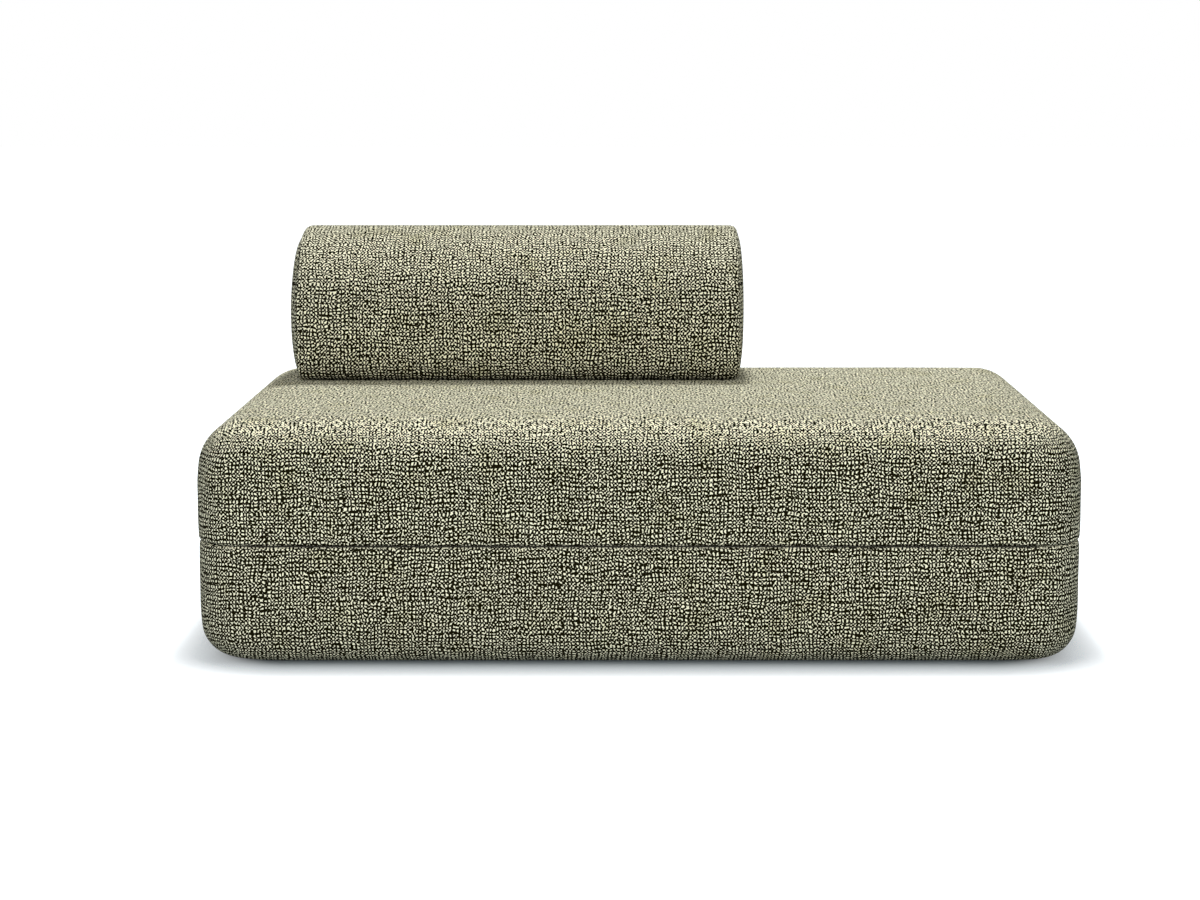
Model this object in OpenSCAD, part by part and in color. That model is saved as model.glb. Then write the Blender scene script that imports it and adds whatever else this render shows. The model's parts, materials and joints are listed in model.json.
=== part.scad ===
/* [Mattresses] */
// Width of both mattresses, left to right
bed_w = 1600; // [1400:10:2000]
// Depth of each mattress, front to back
bed_d = 1000; // [900:10:1200]
// Thickness of the lower mattress, with the anti-slip sheet under it
lower_t = 220; // [200:1:280]
// Thickness of the upper mattress at the middle of its seat
upper_t = 220; // [215:1:280]
// Radius of the four upright corners
corner_r = 96; // [70:1:140]
// Radius of the soft edge round the seat
seat_edge_r = 92; // [50:1:92]
// Radius of the lower mattress's edge at the floor
floor_edge_r = 62; // [30:1:80]
// Radius of the sewn edges where the two mattresses meet
seam_edge_r = 14; // [10:1:20]
// How far the sides draw in from their belly to the sewn edge
seam_draw = 5; // [2:0.5:8]
// How far the sides draw in from their belly to the soft edge
edge_draw = 2; // [0.5:0.5:4]
// Height of the belly's middle over the sleep face, where the zip also lies
belly_rise = 90; // [80:1:95]
// Height of the straight band along the belly
belly_band = 40; // [34:1:44]
// How much higher the middle of the seat is than its edge
seat_crown = 3; // [1:0.5:6]

/* [Bolster] */
// Length of the bolster, left to right, over its crowned ends
bolster_l = 902; // [700:1:1200]
// Depth of the bolster, front to back
bolster_d = 320; // [300:1:380]
// Height of the bolster
bolster_h = 305; // [280:1:360]
// Distance from the middle of the bed to the middle of the bolster, to the left
bolster_off_x = 244; // [0:1:300]
// Distance from the back of the bed to the back of the bolster
bolster_off_back = 48; // [30:1:90]
// Height of the front belly over the seat
bolster_belly_h = 100; // [80:1:130]
// How far the underside starts behind the front belly
bolster_tuck = 83; // [60:1:110]
// Radius of the rounded edge at the top of the back
bolster_back_r = 100; // [60:1:110]
// Radius of the edge at the foot of the back
bolster_foot_r = 25; // [15:1:35]
// Radius of the edge round each end
bolster_end_r = 30; // [20:1:45]
// How far the middle of each end stands out
bolster_end_crown = 3; // [1:0.5:8]

/* [Fabric and filling] */
// Thickness of the woven cover
cover_t = 2.5; // [1.5:0.1:4]
// Width of the cover's turned lip round each sewn panel
seam_lip = 4; // [2:0.5:8]
// Thickness of the anti-slip sheets
grip_t = 1; // [0.6:0.1:2]
// Distance from a soft edge to the anti-slip sheet
grip_margin = 12; // [5:1:40]
// Thickness of the mattresses' wadding
wadding_t = 6; // [3:0.5:10]
// Thickness of the bolster's wadding
bolster_wadding_t = 8; // [6:0.5:10]
// Thickness of the comfort foam under each sleep face
comfort_t = 40; // [20:1:44]

/* [Textile hinge] */
// Thickness of the hinge strip
strip_t = 0.8; // [0.5:0.1:1.2]
// Radius of the folded bead on the fold line
bead_r = 1.2; // [1:0.1:2]
// Distance from each end of the strip to the upright corner's round
strip_margin = 6; // [0:1:60]

/* [Zips] */
// Distance from each end of a mattress's zip to the upright corner's round
bed_zip_margin = 54; // [20:1:200]
// Distance from each end of the bolster's zip to the round of its end
bolster_zip_margin = 38; // [20:1:120]
// Height of the bolster's zip over its underside
bolster_zip_rise = 62; // [50:1:90]
// Height of the opening in the cover that shows the coil
zip_slot_h = 8; // [7.4:0.1:10]
// Gap between the two halves, which the slider's neck runs in
zip_split = 1.2; // [1:0.1:1.6]
// Height of one tape
tape_h = 13; // [9:0.5:14]
// Thickness of a tape
tape_t = 0.8; // [0.4:0.1:1]
// How far the tapes run past the ends of the opening
tape_end = 9; // [4:1:15]
// Height of one half of the coil
coil_h = 2.3; // [2:0.1:2.6]
// Thickness of the coil
coil_t = 1.8; // [1.4:0.1:2]
// Length of an end stop
stop_l = 3; // [2:0.5:5]
// Length of the slider
slider_l = 10; // [8:0.5:14]
// Height of the slider's plates
slider_h = 6.4; // [6:0.1:6.8]
// Thickness of the slider's plates
slider_t = 0.9; // [0.6:0.1:1.2]
// Thickness of the slider's neck
neck_t = 0.6; // [0.4:0.1:0.8]
// Length of the pull tab from its pivot
pull_l = 24; // [16:1:34]
// Height of the pull tab
pull_h = 6; // [5:0.5:8]
// Height of the pull tab's eye, between the slider's cheeks
eye_h = 2.4; // [2:0.1:2.8]
// Thickness of the pull tab
pull_t = 1.2; // [0.8:0.1:1.4]
// Radius of the pull tab's pivot pin
pin_r = 0.5; // [0.4:0.05:0.7]
// Thickness of each cheek that holds the pivot pin
cheek_t = 0.7; // [0.5:0.1:1]

/* [Clearances] */
// Gap between soft faces that rest on each other
rest_gap = 0.3; // [0.2:0.05:0.5]
// Gap between a foam block and the cover round it
foam_gap = 0.8; // [0.6:0.05:0.95]
// Running clearance round the pivot pin
pin_clear = 0.05; // [0.02:0.01:0.1]
// Gap round the slider and the pull tab
slider_clear = 0.3; // [0.2:0.05:0.4]

/* [Hidden] */

// Colours of the materials
weave = [0.75, 0.75, 0.65];
strip = [0.2, 0.2, 0.15];
grip = [0.25, 0.25, 0.25];
foam = [0.93, 0.9, 0.78];
soft_foam = [0.95, 0.93, 0.86];
fibre = [0.95, 0.95, 0.95];
tape = [0.62, 0.61, 0.5];
coil = [0.5, 0.49, 0.4];
metal = [0.7, 0.7, 0.68];

// Steps in each upright corner, each soft edge and each sewn edge
corner_steps = 6;
edge_steps = 6;
seam_steps = 3;
// Places of the crown's rings, from the seat's edge to its middle
crown_shares = [0.82, 0.58, 0.3];
// Place of the ring in the bolster's crowned ends
end_crown_share = 0.6;
// Steps in the bolster's long curves, small curves and ends
long_steps = 9;
short_steps = 5;
foot_steps = 3;
end_steps = 5;
// Outline of the slider's plates, as shares of half its length and half its height
slider_shares = [[-1, 0.5], [-0.8, 0.76], [0, 0.8], [0.5, 1], [0.85, 1], [1, 0.6]];
// Outline of the pull tab past its eye, as shares of its length and half its height
pull_shares = [[0.3, 0.75], [0.8, 1], [0.95, 0.85], [1, 0.5]];
// Part of the slider's length that its neck fills
neck_share = 0.6;
// Faces of the round pins and the bead
$fn = 32;
// How far a cut runs past what it cuts
overrun = 2;

half_w = bed_w / 2;
half_d = bed_d / 2;
lower_body_t = lower_t - grip_t;
upper_z = lower_t + rest_gap;
seat_z = upper_z + upper_t;
belly_low = belly_rise - belly_band / 2;
belly_high = belly_rise + belly_band / 2;
panel_inset = seam_draw + seam_edge_r + seam_lip;
filling_inset = cover_t + foam_gap;
wadding_h = cover_t + rest_gap;
comfort_h = wadding_h + wadding_t + rest_gap;
core_h = comfort_h + comfort_t + rest_gap;

// The fold line lies just outside the belly, half way between the sleep faces
fold_y = -half_d - rest_gap;
fold_z = lower_t + rest_gap / 2;

bolster_half_l = bolster_l / 2 - bolster_end_crown;
bolster_body_h = bolster_h - grip_t;
bolster_y = half_d - bolster_off_back - bolster_d;
// The underside rests on the crowned seat along its front edge
bolster_front_share = (bolster_y + bolster_tuck) / (half_d - seat_edge_r - edge_draw);
bolster_z = seat_z - seat_crown * pow(bolster_front_share, 2) + rest_gap;
bolster_body_z = bolster_z + grip_t;
bolster_wadding_inset = cover_t + rest_gap;
bolster_foam_inset = bolster_wadding_inset + bolster_wadding_t + foam_gap;

bed_zip_l = bed_w - 2 * (corner_r + bed_zip_margin);
bolster_zip_l = 2 * (bolster_half_l - bolster_end_r - bolster_zip_margin);

// Places of a zip's layers, counted outwards from the cover's outer face
coil_y = -cover_t;
tape_y = coil_y - tape_t;
front_plate_y = coil_y + coil_t + slider_clear;
back_plate_y = tape_y - slider_clear - slider_t;
eye_r = pin_r + pin_clear + pull_t / 2;
pin_y = front_plate_y + slider_t + slider_clear + eye_r;
cheek_gap = eye_h + 2 * slider_clear;
tape_z = zip_split / 2;
relief_depth = slider_clear - back_plate_y;
relief_h = 2 * (tape_z + tape_h + foam_gap);

// One ring of a mattress: a rectangle with round corners, drawn in by inset, at height h
function plan_ring(inset, h, share = 1) =
    let (r = max(corner_r - inset, rest_gap))
    [for (corner = [0:3], step = [0:corner_steps])
        let (a = 90 * (corner + step / corner_steps),
             side_x = corner == 0 || corner == 3 ? 1 : -1,
             side_y = corner < 2 ? 1 : -1)
        [share * (side_x * (half_w - inset - r) + r * cos(a)),
         share * (side_y * (half_d - inset - r) + r * sin(a)), h]];

// The crown from near its middle out to the soft edge, t inside the outer face
function crown_rings(t, body_t, edge_r, crown) =
    [for (share = crown > 0 ? crown_shares : [])
        plan_ring(edge_draw + edge_r, body_t - t - crown * share * share, share)];

// The soft edge, from the crown down to the side
function edge_rings(t, body_t, edge_r, crown) =
    [for (step = [0:edge_steps])
        let (a = 90 * (1 - step / edge_steps))
        plan_ring(edge_draw + edge_r - (edge_r - t) * cos(a),
                  body_t - crown - edge_r + (edge_r - t) * sin(a))];

function belly_rings(t) = [plan_ring(t, belly_high), plan_ring(t, belly_low)];

// The side between the belly and the sewn edge, and the sewn edge itself
function draw_inset(t, h) = t + seam_draw * pow((belly_low - h) / (belly_low - seam_edge_r), 2);

function seam_rings(t) = concat(
    [let (h = (belly_low + seam_edge_r) / 2) plan_ring(draw_inset(t, h), h)],
    [for (step = [0:seam_steps])
        let (a = 90 * step / seam_steps)
        plan_ring(seam_draw + seam_edge_r - (seam_edge_r - t) * cos(a),
                  seam_edge_r - (seam_edge_r - t) * sin(a))]);

// Inset of the lower half of the side at height h, t inside the outer face
function side_inset(t, h) =
    h >= belly_low ? t :
    h >= seam_edge_r ? draw_inset(t, h) :
    seam_draw + seam_edge_r - sqrt(pow(seam_edge_r - t, 2) - pow(seam_edge_r - h, 2));

function reverse(list) = [for (i = [len(list) - 1:-1:0]) list[i]];

// A closed surface through rings, which ends in a point at each end
module lofted(first, rings, last) {
    n = len(rings[0]);
    m = len(rings);
    points = concat([first], [for (ring = rings) each ring], [last]);
    end = m * n + 1;
    faces = concat(
        [for (i = [0:n - 1]) [0, 1 + (i + 1) % n, 1 + i]],
        [for (j = [0:m - 2], i = [0:n - 1])
            let (a = 1 + j * n + i, b = 1 + j * n + (i + 1) % n)
            each [[a, b, b + n], [a, b + n, a + n]]],
        [for (i = [0:n - 1]) [end, end - n + i, end - n + (i + 1) % n]]);
    polyhedron(points = points, faces = faces);
}

// A closed surface through rings, where the last ring joins the first
module lofted_tube(rings) {
    n = len(rings[0]);
    m = len(rings);
    points = [for (ring = rings) each ring];
    faces = [for (j = [0:m - 1], i = [0:n - 1])
        let (next = (j + 1) % m * n, k = (i + 1) % n)
        each [[j * n + i, j * n + k, next + k], [j * n + i, next + k, next + i]]];
    polyhedron(points = points, faces = faces);
}

// The opening in a cover that shows the zip's coil
module zip_slot(zip_l) {
    translate([-zip_l / 2, -cover_t - overrun, -zip_slot_h / 2])
        cube([zip_l, cover_t + 2 * overrun, zip_slot_h]);
}

// Room behind the zip for its tapes and the slider's back plate
module zip_relief(zip_l) {
    relief_l = zip_l + 2 * (tape_end + foam_gap);
    translate([-relief_l / 2, -relief_depth, -relief_h / 2])
        cube([relief_l, relief_depth + overrun, relief_h]);
}

module at_mattress_zip() {
    translate([0, half_d, belly_rise]) children();
}

// The cover of a mattress, with its open sleep face at height 0 and its outer face up
module mattress_cover(body_t, edge_r, crown) {
    function shell(t) = concat(
        reverse(crown_rings(t, body_t, edge_r, crown)), edge_rings(t, body_t, edge_r, crown),
        belly_rings(t), seam_rings(t), [plan_ring(panel_inset, t)]);
    difference() {
        lofted([0, 0, body_t], concat(shell(0), reverse(shell(cover_t))), [0, 0, body_t - cover_t]);
        at_mattress_zip() zip_slot(bed_zip_l);
    }
}

// A flat layer of a mattress, such as a panel, a wadding or an anti-slip sheet
module flat_layer(inset, h, t) {
    translate([0, 0, h])
        linear_extrude(t)
            polygon([for (p = plan_ring(inset, 0)) [p.x, p.y]]);
}

module sleep_panel() {
    flat_layer(panel_inset + rest_gap, 0, cover_t);
}

module sleep_wadding() {
    flat_layer(panel_inset + rest_gap, wadding_h, wadding_t);
}

module comfort_foam() {
    steps = 3;
    rings = [for (step = [steps:-1:0])
        let (h = comfort_h + comfort_t * step / steps)
        plan_ring(side_inset(filling_inset, h), h)];
    lofted([0, 0, comfort_h + comfort_t], rings, [0, 0, comfort_h]);
}

// The support foam, with its outer face top_t inside the cover's
module foam_core(body_t, edge_r, crown, top_t) {
    rings = concat(
        reverse(crown_rings(top_t, body_t, edge_r, crown)), edge_rings(top_t, body_t, edge_r, crown),
        belly_rings(filling_inset), [plan_ring(side_inset(filling_inset, core_h), core_h)]);
    difference() {
        lofted([0, 0, body_t - top_t], rings, [0, 0, core_h]);
        at_mattress_zip() zip_relief(bed_zip_l);
    }
}

// The crowned wadding between the seat's cover and its foam
module crowned_wadding(body_t, edge_r, crown) {
    function face(t) = concat(
        reverse(crown_rings(t, body_t, edge_r, crown)),
        [plan_ring(edge_draw + edge_r, body_t - crown - t)]);
    outer_t = wadding_h;
    inner_t = wadding_h + wadding_t;
    lofted([0, 0, body_t - outer_t], concat(face(outer_t), reverse(face(inner_t))),
           [0, 0, body_t - inner_t]);
}

// The lower mattress lies sleep face up, and the upper one lies on it sleep face down
module in_lower() {
    translate([0, 0, lower_t]) mirror([0, 0, 1]) children();
}

module in_upper() {
    translate([0, 0, upper_z]) children();
}

// Half of the hinge strip, from the sewn edge out to start_y, with its face at height 0
module strip_half(start_y) {
    strip_l = 2 * (half_w - corner_r - strip_margin);
    seat_y = -half_d + side_inset(0, strip_t + rest_gap);
    translate([-strip_l / 2, start_y, 0])
        cube([strip_l, seat_y - start_y, strip_t]);
}

// One half of the zip, mirrored for the other, each named by its side of the split
module both_halves() {
    for (side = [0, 1])
        mirror([0, 0, side]) children();
}

module zip_tapes(zip_l) {
    tape_l = zip_l + 2 * tape_end;
    both_halves()
        translate([-tape_l / 2, tape_y, tape_z]) cube([tape_l, tape_t, tape_h]);
}

module zip_coil(zip_l) {
    coil_l = zip_l - 2 * (stop_l + 2 * slider_clear);
    bevel = coil_t / 3;
    both_halves()
        translate([-coil_l / 2, coil_y, tape_z])
            rotate([90, 0, 90])
                linear_extrude(coil_l)
                    polygon([[0, 0], [coil_t - bevel, 0], [coil_t, bevel],
                             [coil_t, coil_h - bevel], [coil_t - bevel, coil_h], [0, coil_h]]);
}

module zip_stops(zip_l) {
    stop_h = 2 * (tape_z + coil_h);
    for (side = [0, 1])
        mirror([side, 0, 0])
            translate([-zip_l / 2 + slider_clear, coil_y, -stop_h / 2])
                cube([stop_l, coil_t, stop_h]);
}

// The slider rests at the left stop
module at_slider(zip_l) {
    translate([-zip_l / 2 + stop_l + 2 * slider_clear + slider_l / 2, 0, 0]) children();
}

// A flat outline in X and Z, mirrored about X, drawn y away from the cover and t thick
module plate(points, y, t) {
    translate([0, y + t, 0])
        rotate([90, 0, 0])
            linear_extrude(t)
                polygon(concat(points, [for (p = reverse(points)) [p.x, -p.y]]));
}

module zip_slider(zip_l) {
    outline = [for (p = slider_shares) [p.x * slider_l / 2, p.y * slider_h / 2]];
    neck_l = neck_share * slider_l;
    at_slider(zip_l) {
        plate(outline, front_plate_y, slider_t);
        plate(outline, back_plate_y, slider_t);
        translate([-neck_l / 2, back_plate_y, -neck_t / 2])
            cube([neck_l, front_plate_y - back_plate_y + slider_t, neck_t]);
        both_halves()
            translate([0, 0, cheek_gap / 2]) {
                translate([-eye_r, front_plate_y, 0])
                    cube([2 * eye_r, pin_y - front_plate_y, cheek_t]);
                translate([0, pin_y, 0]) cylinder(h = cheek_t, r = eye_r);
            }
        translate([0, pin_y, -cheek_gap / 2 - cheek_t])
            cylinder(h = cheek_gap + 2 * cheek_t, r = pin_r);
    }
}

module zip_pull(zip_l) {
    tab_x = eye_r + slider_clear;
    tab_l = pull_l - tab_x;
    outline = concat(
        [[0, eye_h / 2], [tab_x, eye_h / 2]],
        [for (p = pull_shares) [tab_x + p.x * tab_l, p.y * pull_h / 2]]);
    at_slider(zip_l)
        difference() {
            union() {
                translate([0, pin_y, -eye_h / 2]) cylinder(h = eye_h, r = eye_r);
                plate(outline, pin_y - pull_t / 2, pull_t);
            }
            translate([0, pin_y, -eye_h / 2 - overrun])
                cylinder(h = eye_h + 2 * overrun, r = pin_r + pin_clear);
        }
}

module at_lower_zip() {
    translate([0, half_d, lower_t - belly_rise]) children();
}

module at_upper_zip() {
    translate([0, half_d, upper_z + belly_rise]) children();
}

module in_bolster() {
    translate([-bolster_off_x, bolster_y, bolster_body_z]) children();
}

module at_bolster_zip() {
    in_bolster() translate([0, bolster_d, bolster_zip_rise]) children();
}

// The bolster's section: up its round front, over the top and down its upright back
function bolster_outline() =
    let (top_y = bolster_d - bolster_back_r, top_r = bolster_body_h - bolster_belly_h)
    concat(
        [for (step = [0:short_steps]) let (a = 270 - 90 * step / short_steps)
            [bolster_tuck * (1 + cos(a)), bolster_belly_h * (1 + sin(a))]],
        [for (step = [1:long_steps]) let (a = 180 - 90 * step / long_steps)
            [top_y * (1 + cos(a)), bolster_belly_h + top_r * sin(a)]],
        [for (step = [1:short_steps]) let (a = 90 - 90 * step / short_steps)
            [top_y + bolster_back_r * cos(a), bolster_body_h - bolster_back_r * (1 - sin(a))]],
        [for (step = [0:foot_steps]) let (a = -90 * step / foot_steps)
            [bolster_d - bolster_foot_r * (1 - cos(a)), bolster_foot_r * (1 + sin(a))]]);

// The section drawn in by inset towards its middle
function bolster_section(inset, share = 1) =
    [for (p = bolster_outline())
        [bolster_d / 2 + share * (p.x - bolster_d / 2) * (1 - 2 * inset / bolster_d),
         bolster_body_h / 2
            + share * (p.y - bolster_body_h / 2) * (1 - 2 * inset / bolster_body_h)]];

function bolster_ring(x, inset, share = 1) =
    [for (p = bolster_section(inset, share)) [x, p.x, p.y]];

// The rings round an end's edge, from the long side to the end, t inside the outer face
function end_rings(t, side = 1) =
    [for (step = [0:end_steps])
        let (a = 90 * step / end_steps, r = bolster_end_r - t)
        bolster_ring(side * (bolster_half_l - bolster_end_r + r * sin(a)),
                     bolster_end_r - r * cos(a))];

module bolster_wrap() {
    lip_inset = bolster_end_r + seam_lip;
    function shell(t) = concat(
        [bolster_ring(t - bolster_half_l, lip_inset)], reverse(end_rings(t, -1)),
        end_rings(t), [bolster_ring(bolster_half_l - t, lip_inset)]);
    difference() {
        lofted_tube(concat(shell(0), reverse(shell(cover_t))));
        translate([0, bolster_d, bolster_zip_rise]) zip_slot(bolster_zip_l);
    }
}

module bolster_end() {
    inset = bolster_end_r + seam_lip + rest_gap;
    bulge = bolster_end_crown * (1 - pow(end_crown_share, 2));
    function face(x) = [bolster_ring(x + bulge, inset, end_crown_share), bolster_ring(x, inset)];
    outer_x = bolster_half_l;
    inner_x = bolster_half_l - cover_t;
    lofted([outer_x + bolster_end_crown, bolster_d / 2, bolster_body_h / 2],
           concat(face(outer_x), reverse(face(inner_x))),
           [inner_x + bolster_end_crown, bolster_d / 2, bolster_body_h / 2]);
}

module bolster_foam() {
    t = bolster_foam_inset;
    lofted([t - bolster_half_l, bolster_d / 2, bolster_body_h / 2],
           concat(reverse(end_rings(t, -1)), end_rings(t)),
           [bolster_half_l - t, bolster_d / 2, bolster_body_h / 2]);
}

module bolster_wadding_wrap() {
    wrap_l = 2 * (bolster_half_l - bolster_end_r);
    difference() {
        translate([-wrap_l / 2, 0, 0])
            rotate([90, 0, 90])
                linear_extrude(wrap_l)
                    difference() {
                        polygon(bolster_section(bolster_wadding_inset));
                        polygon(bolster_section(bolster_wadding_inset + bolster_wadding_t));
                    }
        translate([0, bolster_d, bolster_zip_rise]) zip_relief(bolster_zip_l);
    }
}

module bolster_sheet() {
    sheet_l = 2 * (bolster_half_l - bolster_end_r - grip_margin);
    sheet_d = bolster_d - bolster_foot_r - bolster_tuck - 2 * grip_margin;
    translate([-sheet_l / 2, bolster_tuck + grip_margin, -grip_t])
        cube([sheet_l, sheet_d, grip_t]);
}

module lower_cover() {
    color(weave) in_lower() mattress_cover(lower_body_t, floor_edge_r, 0);
}
module lower_sleep_panel() {
    color(weave) in_lower() sleep_panel();
}
module lower_grip_sheet() {
    color(grip) in_lower()
        flat_layer(edge_draw + floor_edge_r + grip_margin, lower_body_t, grip_t);
}
module lower_foam_core() {
    color(foam) in_lower() foam_core(lower_body_t, floor_edge_r, 0, filling_inset);
}
module lower_comfort_foam() {
    color(soft_foam) in_lower() comfort_foam();
}
module lower_wadding() {
    color(fibre) in_lower() sleep_wadding();
}
module lower_zip_tapes() {
    color(tape) at_lower_zip() zip_tapes(bed_zip_l);
}
module lower_zip_coil() {
    color(coil) at_lower_zip() zip_coil(bed_zip_l);
}
module lower_zip_stops() {
    color(metal) at_lower_zip() zip_stops(bed_zip_l);
}
module lower_zip_slider() {
    color(metal) at_lower_zip() zip_slider(bed_zip_l);
}
module lower_zip_pull() {
    color(metal) at_lower_zip() zip_pull(bed_zip_l);
}
// The lower half of the strip ends in the folded bead that both halves turn on
module hinge_strip_lower() {
    strip_l = 2 * (half_w - corner_r - strip_margin);
    color(strip) {
        in_lower() strip_half(fold_y);
        translate([-strip_l / 2, fold_y, fold_z])
            rotate([0, 90, 0]) cylinder(h = strip_l, r = bead_r);
    }
}
module hinge_strip_upper() {
    color(strip) in_upper() strip_half(fold_y + bead_r + rest_gap);
}
module upper_cover() {
    color(weave) in_upper() mattress_cover(upper_t, seat_edge_r, seat_crown);
}
module upper_sleep_panel() {
    color(weave) in_upper() sleep_panel();
}
module upper_foam_core() {
    color(foam) in_upper() foam_core(upper_t, seat_edge_r, seat_crown, comfort_h);
}
module upper_comfort_foam() {
    color(soft_foam) in_upper() comfort_foam();
}
module upper_wadding() {
    color(fibre) in_upper() sleep_wadding();
}
module seat_wadding() {
    color(fibre) in_upper() crowned_wadding(upper_t, seat_edge_r, seat_crown);
}
module upper_zip_tapes() {
    color(tape) at_upper_zip() zip_tapes(bed_zip_l);
}
module upper_zip_coil() {
    color(coil) at_upper_zip() zip_coil(bed_zip_l);
}
module upper_zip_stops() {
    color(metal) at_upper_zip() zip_stops(bed_zip_l);
}
module upper_zip_slider() {
    color(metal) at_upper_zip() zip_slider(bed_zip_l);
}
module upper_zip_pull() {
    color(metal) at_upper_zip() zip_pull(bed_zip_l);
}
module bolster_cover() {
    color(weave) in_bolster() bolster_wrap();
}
module bolster_left_end() {
    color(weave) in_bolster() mirror([1, 0, 0]) bolster_end();
}
module bolster_right_end() {
    color(weave) in_bolster() bolster_end();
}
module bolster_grip_sheet() {
    color(grip) in_bolster() bolster_sheet();
}
module bolster_foam_core() {
    color(foam) in_bolster() bolster_foam();
}
module bolster_wadding() {
    color(fibre) in_bolster() bolster_wadding_wrap();
}
module bolster_zip_tapes() {
    color(tape) at_bolster_zip() zip_tapes(bolster_zip_l);
}
module bolster_zip_coil() {
    color(coil) at_bolster_zip() zip_coil(bolster_zip_l);
}
module bolster_zip_stops() {
    color(metal) at_bolster_zip() zip_stops(bolster_zip_l);
}
module bolster_zip_slider() {
    color(metal) at_bolster_zip() zip_slider(bolster_zip_l);
}
module bolster_zip_pull() {
    color(metal) at_bolster_zip() zip_pull(bolster_zip_l);
}

lower_cover();
lower_sleep_panel();
lower_grip_sheet();
lower_foam_core();
lower_comfort_foam();
lower_wadding();
lower_zip_tapes();
lower_zip_coil();
lower_zip_stops();
lower_zip_slider();
lower_zip_pull();
hinge_strip_lower();
hinge_strip_upper();
upper_cover();
upper_sleep_panel();
upper_foam_core();
upper_comfort_foam();
upper_wadding();
seat_wadding();
upper_zip_tapes();
upper_zip_coil();
upper_zip_stops();
upper_zip_slider();
upper_zip_pull();
bolster_cover();
bolster_left_end();
bolster_right_end();
bolster_grip_sheet();
bolster_foam_core();
bolster_wadding();
bolster_zip_tapes();
bolster_zip_coil();
bolster_zip_stops();
bolster_zip_slider();
bolster_zip_pull();
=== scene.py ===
"""Looks of a modular sofa bed: two mattresses joined along their front seam, and a loose bolster."""

import json
import math

import bmesh
import bpy
import numpy as np
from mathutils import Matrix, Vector, noise


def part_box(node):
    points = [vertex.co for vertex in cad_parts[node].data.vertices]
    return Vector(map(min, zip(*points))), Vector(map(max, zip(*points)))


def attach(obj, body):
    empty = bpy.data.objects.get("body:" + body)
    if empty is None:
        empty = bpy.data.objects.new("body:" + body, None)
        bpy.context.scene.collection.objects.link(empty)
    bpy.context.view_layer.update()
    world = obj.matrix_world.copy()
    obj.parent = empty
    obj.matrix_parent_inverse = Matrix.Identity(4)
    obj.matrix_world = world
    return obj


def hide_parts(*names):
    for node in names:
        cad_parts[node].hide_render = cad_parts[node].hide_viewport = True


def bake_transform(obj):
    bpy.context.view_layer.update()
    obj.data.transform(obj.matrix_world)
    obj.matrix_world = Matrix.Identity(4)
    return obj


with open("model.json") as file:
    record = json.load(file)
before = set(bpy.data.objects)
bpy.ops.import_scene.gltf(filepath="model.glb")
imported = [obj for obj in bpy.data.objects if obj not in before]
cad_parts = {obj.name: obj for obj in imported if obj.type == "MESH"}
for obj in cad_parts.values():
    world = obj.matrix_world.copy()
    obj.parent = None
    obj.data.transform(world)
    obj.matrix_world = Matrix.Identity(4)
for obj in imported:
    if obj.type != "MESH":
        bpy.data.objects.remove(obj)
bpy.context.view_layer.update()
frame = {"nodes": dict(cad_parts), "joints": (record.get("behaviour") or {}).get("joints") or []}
fold = next(joint for joint in frame["joints"] if joint["name"] == "sleeper_fold")

# All sizes are in metres. The mattresses press closer along the seam than the CAD solids do
CORNER_R = 0.096
SEAT_EDGE_R = 0.092
FLOOR_EDGE_R = 0.062
SEAM_EDGE_R = 0.0078
SEAM_DRAW = 0.0014
EDGE_DRAW = 0.002
BELLY_LOW = 0.070
BELLY_HIGH = 0.110
SEAT_CROWN = 0.001
SEAT_PUFF = 0.0025
SEAT_WIDER = 0.002
FLOOR_WIDER = 0.001
SEAM_LIP = 0.004
PANEL_INSET = SEAM_DRAW + SEAM_EDGE_R + SEAM_LIP
CORNER_REACH = 0.15
LEFT_LIFT = 0.009
RIGHT_LIFT = 0.004

# How the bolster presses into the seat
PRESS_REACH = 0.03
PRESS_GAP = 0.0002

# Shape of the bolster, with ends that puff out further than the CAD solid's
BOLSTER_BELLY_H = 0.100
BOLSTER_TUCK = 0.048
BOLSTER_BACK_R = 0.100
BOLSTER_FOOT_R = 0.025
BOLSTER_END_R = 0.016
BOLSTER_LIP = 0.004
LEFT_END_PUFF = 0.0125
RIGHT_END_PUFF = 0.0055
END_PUFF_POWER = 0.4

# Textile hinge along the front seam
RIBBON_W = 0.0078
RIBBON_T = 0.0008
FOLD_R = 0.0005
FOLD_GAP = 0.0001

# Zips
SLOT_H = 0.008
SLOT_DEPTH = 0.0047
SLOT_FOLD = 0.0011
BACK_REACH = 0.004
CUT_REACH = 0.02
TOOTH_PITCH = 0.0021
TOOTH_R = 0.00038
TOOTH_REACH = 0.0004
TOOTH_LEAN = TOOTH_PITCH * 0.1
TOOTH_FLATTER = 1.5
TAB_BEVEL = 0.0002
SLIDER_BEVEL = 0.0001

# Sewn panels and stitches
PANEL_T = 0.0022
PANEL_SUNK = 0.0025
PANEL_GAP = 0.0004
GROOVE_DEPTH = 0.0012
GROOVE_REACH = 0.005
STITCH_L = 0.0042
STITCH_STEP = 0.0062
STITCH_R = 0.00045
ZIP_STITCH_OFF = 0.0085
PANEL_STITCH_OFF = 0.0045

# Rubber dots of the anti-slip sheets
DOT_STEP = 0.019
DOT_R = 0.0032
DOT_TIP_R = DOT_R * 0.7
DOT_SIDES = 8
DOT_H = 0.0004

# Size of the mesh faces before they are subdivided once
MATTRESS_STEP = 0.0145
BOLSTER_STEP = 0.0118

# Step along a profile that points are matched to, and how many points are matched at once
FINE_STEP = 0.001
BATCH = 4000

# Cloth simulation: where it starts, how far its fullest point ends outside, and how the filling holds it
SWELL_START = 0.0012
SWELL_MOST = 0.0012
FILLING_HOLD = 0.25
CLOTH_FRAMES = 20
CLOTH_PRESSURE = 4.0

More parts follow.
